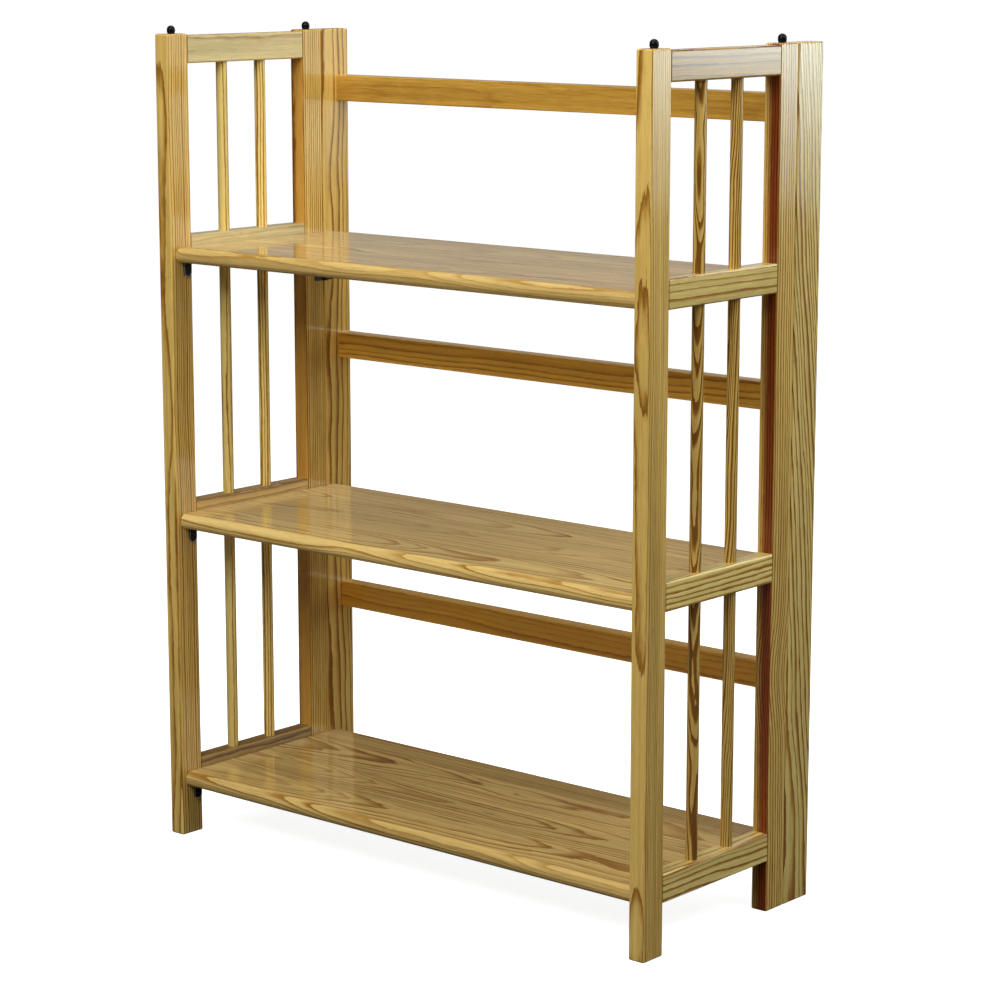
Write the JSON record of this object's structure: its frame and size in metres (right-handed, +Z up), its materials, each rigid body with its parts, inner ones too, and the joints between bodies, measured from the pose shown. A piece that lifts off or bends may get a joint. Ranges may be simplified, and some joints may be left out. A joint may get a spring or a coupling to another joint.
{
  "type": "folding bookcase",
  "caption": "Folding open-sided bookcase in pine: ladder-like side panels hinged to a slatted back frame, and shelves that swing up on pins and rest on brackets.",
  "frame": {"origin": "on the floor, at the middle of the case's width and depth", "axes": "+X across the width to the right as seen from the open front, +Y from the open front to the slatted back, +Z up"},
  "size_m": [0.6984, 0.292, 0.9337],
  "materials": {
    "pine": "clear satin lacquer",
    "pine_dowel": "clear satin lacquer",
    "pine_board": "clear gloss lacquer",
    "black_metal": "gloss black",
    "black_screw": "black, worn bright at the rims",
    "bright_steel": "plain"
  },
  "bodies": {
    "case": {"left_front_stile": "pine", "left_rear_stile": "pine", "left_upper_rail": "pine", "left_top_shelf_rail": "pine", "left_middle_shelf_rail": "pine", "left_bottom_shelf_rail": "pine", "left_front_dowel": "pine_dowel", "left_rear_dowel": "pine_dowel", "left_back_post": "pine", "right_front_stile": "pine", "right_rear_stile": "pine", "right_upper_rail": "pine", "right_top_shelf_rail": "pine", "right_middle_shelf_rail": "pine", "right_bottom_shelf_rail": "pine", "right_front_dowel": "pine_dowel", "right_rear_dowel": "pine_dowel", "right_back_post": "pine", "bottom_back_slat": "pine", "middle_back_slat": "pine", "top_back_slat": "pine", "left_front_stacking_peg": "black_metal", "left_rear_stacking_peg": "black_metal", "left_bottom_shelf_bracket": "black_metal", "left_bottom_hinge_stile_leaf": "black_metal", "left_bottom_hinge_post_leaf": "black_metal", "left_middle_shelf_bracket": "black_metal", "left_middle_hinge_stile_leaf": "black_metal", "left_middle_hinge_post_leaf": "black_metal", "left_top_shelf_bracket": "black_metal", "left_top_hinge_stile_leaf": "black_metal", "left_top_hinge_post_leaf": "black_metal", "left_hinge_pins": "bright_steel", "left_hinge_screws": "black_screw", "left_bracket_screws": "black_screw", "right_front_stacking_peg": "black_metal", "right_rear_stacking_peg": "black_metal", "right_bottom_shelf_bracket": "black_metal", "right_bottom_hinge_stile_leaf": "black_metal", "right_bottom_hinge_post_leaf": "black_metal", "right_middle_shelf_bracket": "black_metal", "right_middle_hinge_stile_leaf": "black_metal", "right_middle_hinge_post_leaf": "black_metal", "right_top_shelf_bracket": "black_metal", "right_top_hinge_stile_leaf": "black_metal", "right_top_hinge_post_leaf": "black_metal", "right_hinge_pins": "bright_steel", "right_hinge_screws": "black_screw", "right_bracket_screws": "black_screw"},
    "bottom_shelf_board": {"bottom_shelf": "pine_board", "bottom_shelf_left_pivot_pin": "bright_steel", "bottom_shelf_right_pivot_pin": "bright_steel"},
    "middle_shelf_board": {"middle_shelf": "pine_board", "middle_shelf_left_pivot_pin": "bright_steel", "middle_shelf_right_pivot_pin": "bright_steel"},
    "top_shelf_board": {"top_shelf": "pine_board", "top_shelf_left_pivot_pin": "bright_steel", "top_shelf_right_pivot_pin": "bright_steel"}
  },
  "joints": [
    {"name": "bottom_shelf_fold", "type": "hinge", "parent": "case", "child": "bottom_shelf_board", "pos_m": [0, 0.1085, 0.0665], "axis": [-1, 0, 0], "range_deg": [0, 92.3]},
    {"name": "middle_shelf_fold", "type": "hinge", "parent": "case", "child": "middle_shelf_board", "pos_m": [0, 0.1085, 0.3725], "axis": [-1, 0, 0], "range_deg": [0, 92.3]},
    {"name": "top_shelf_fold", "type": "hinge", "parent": "case", "child": "top_shelf_board", "pos_m": [0, 0.1085, 0.6785], "axis": [-1, 0, 0], "range_deg": [0, 92.3]}
  ]
}
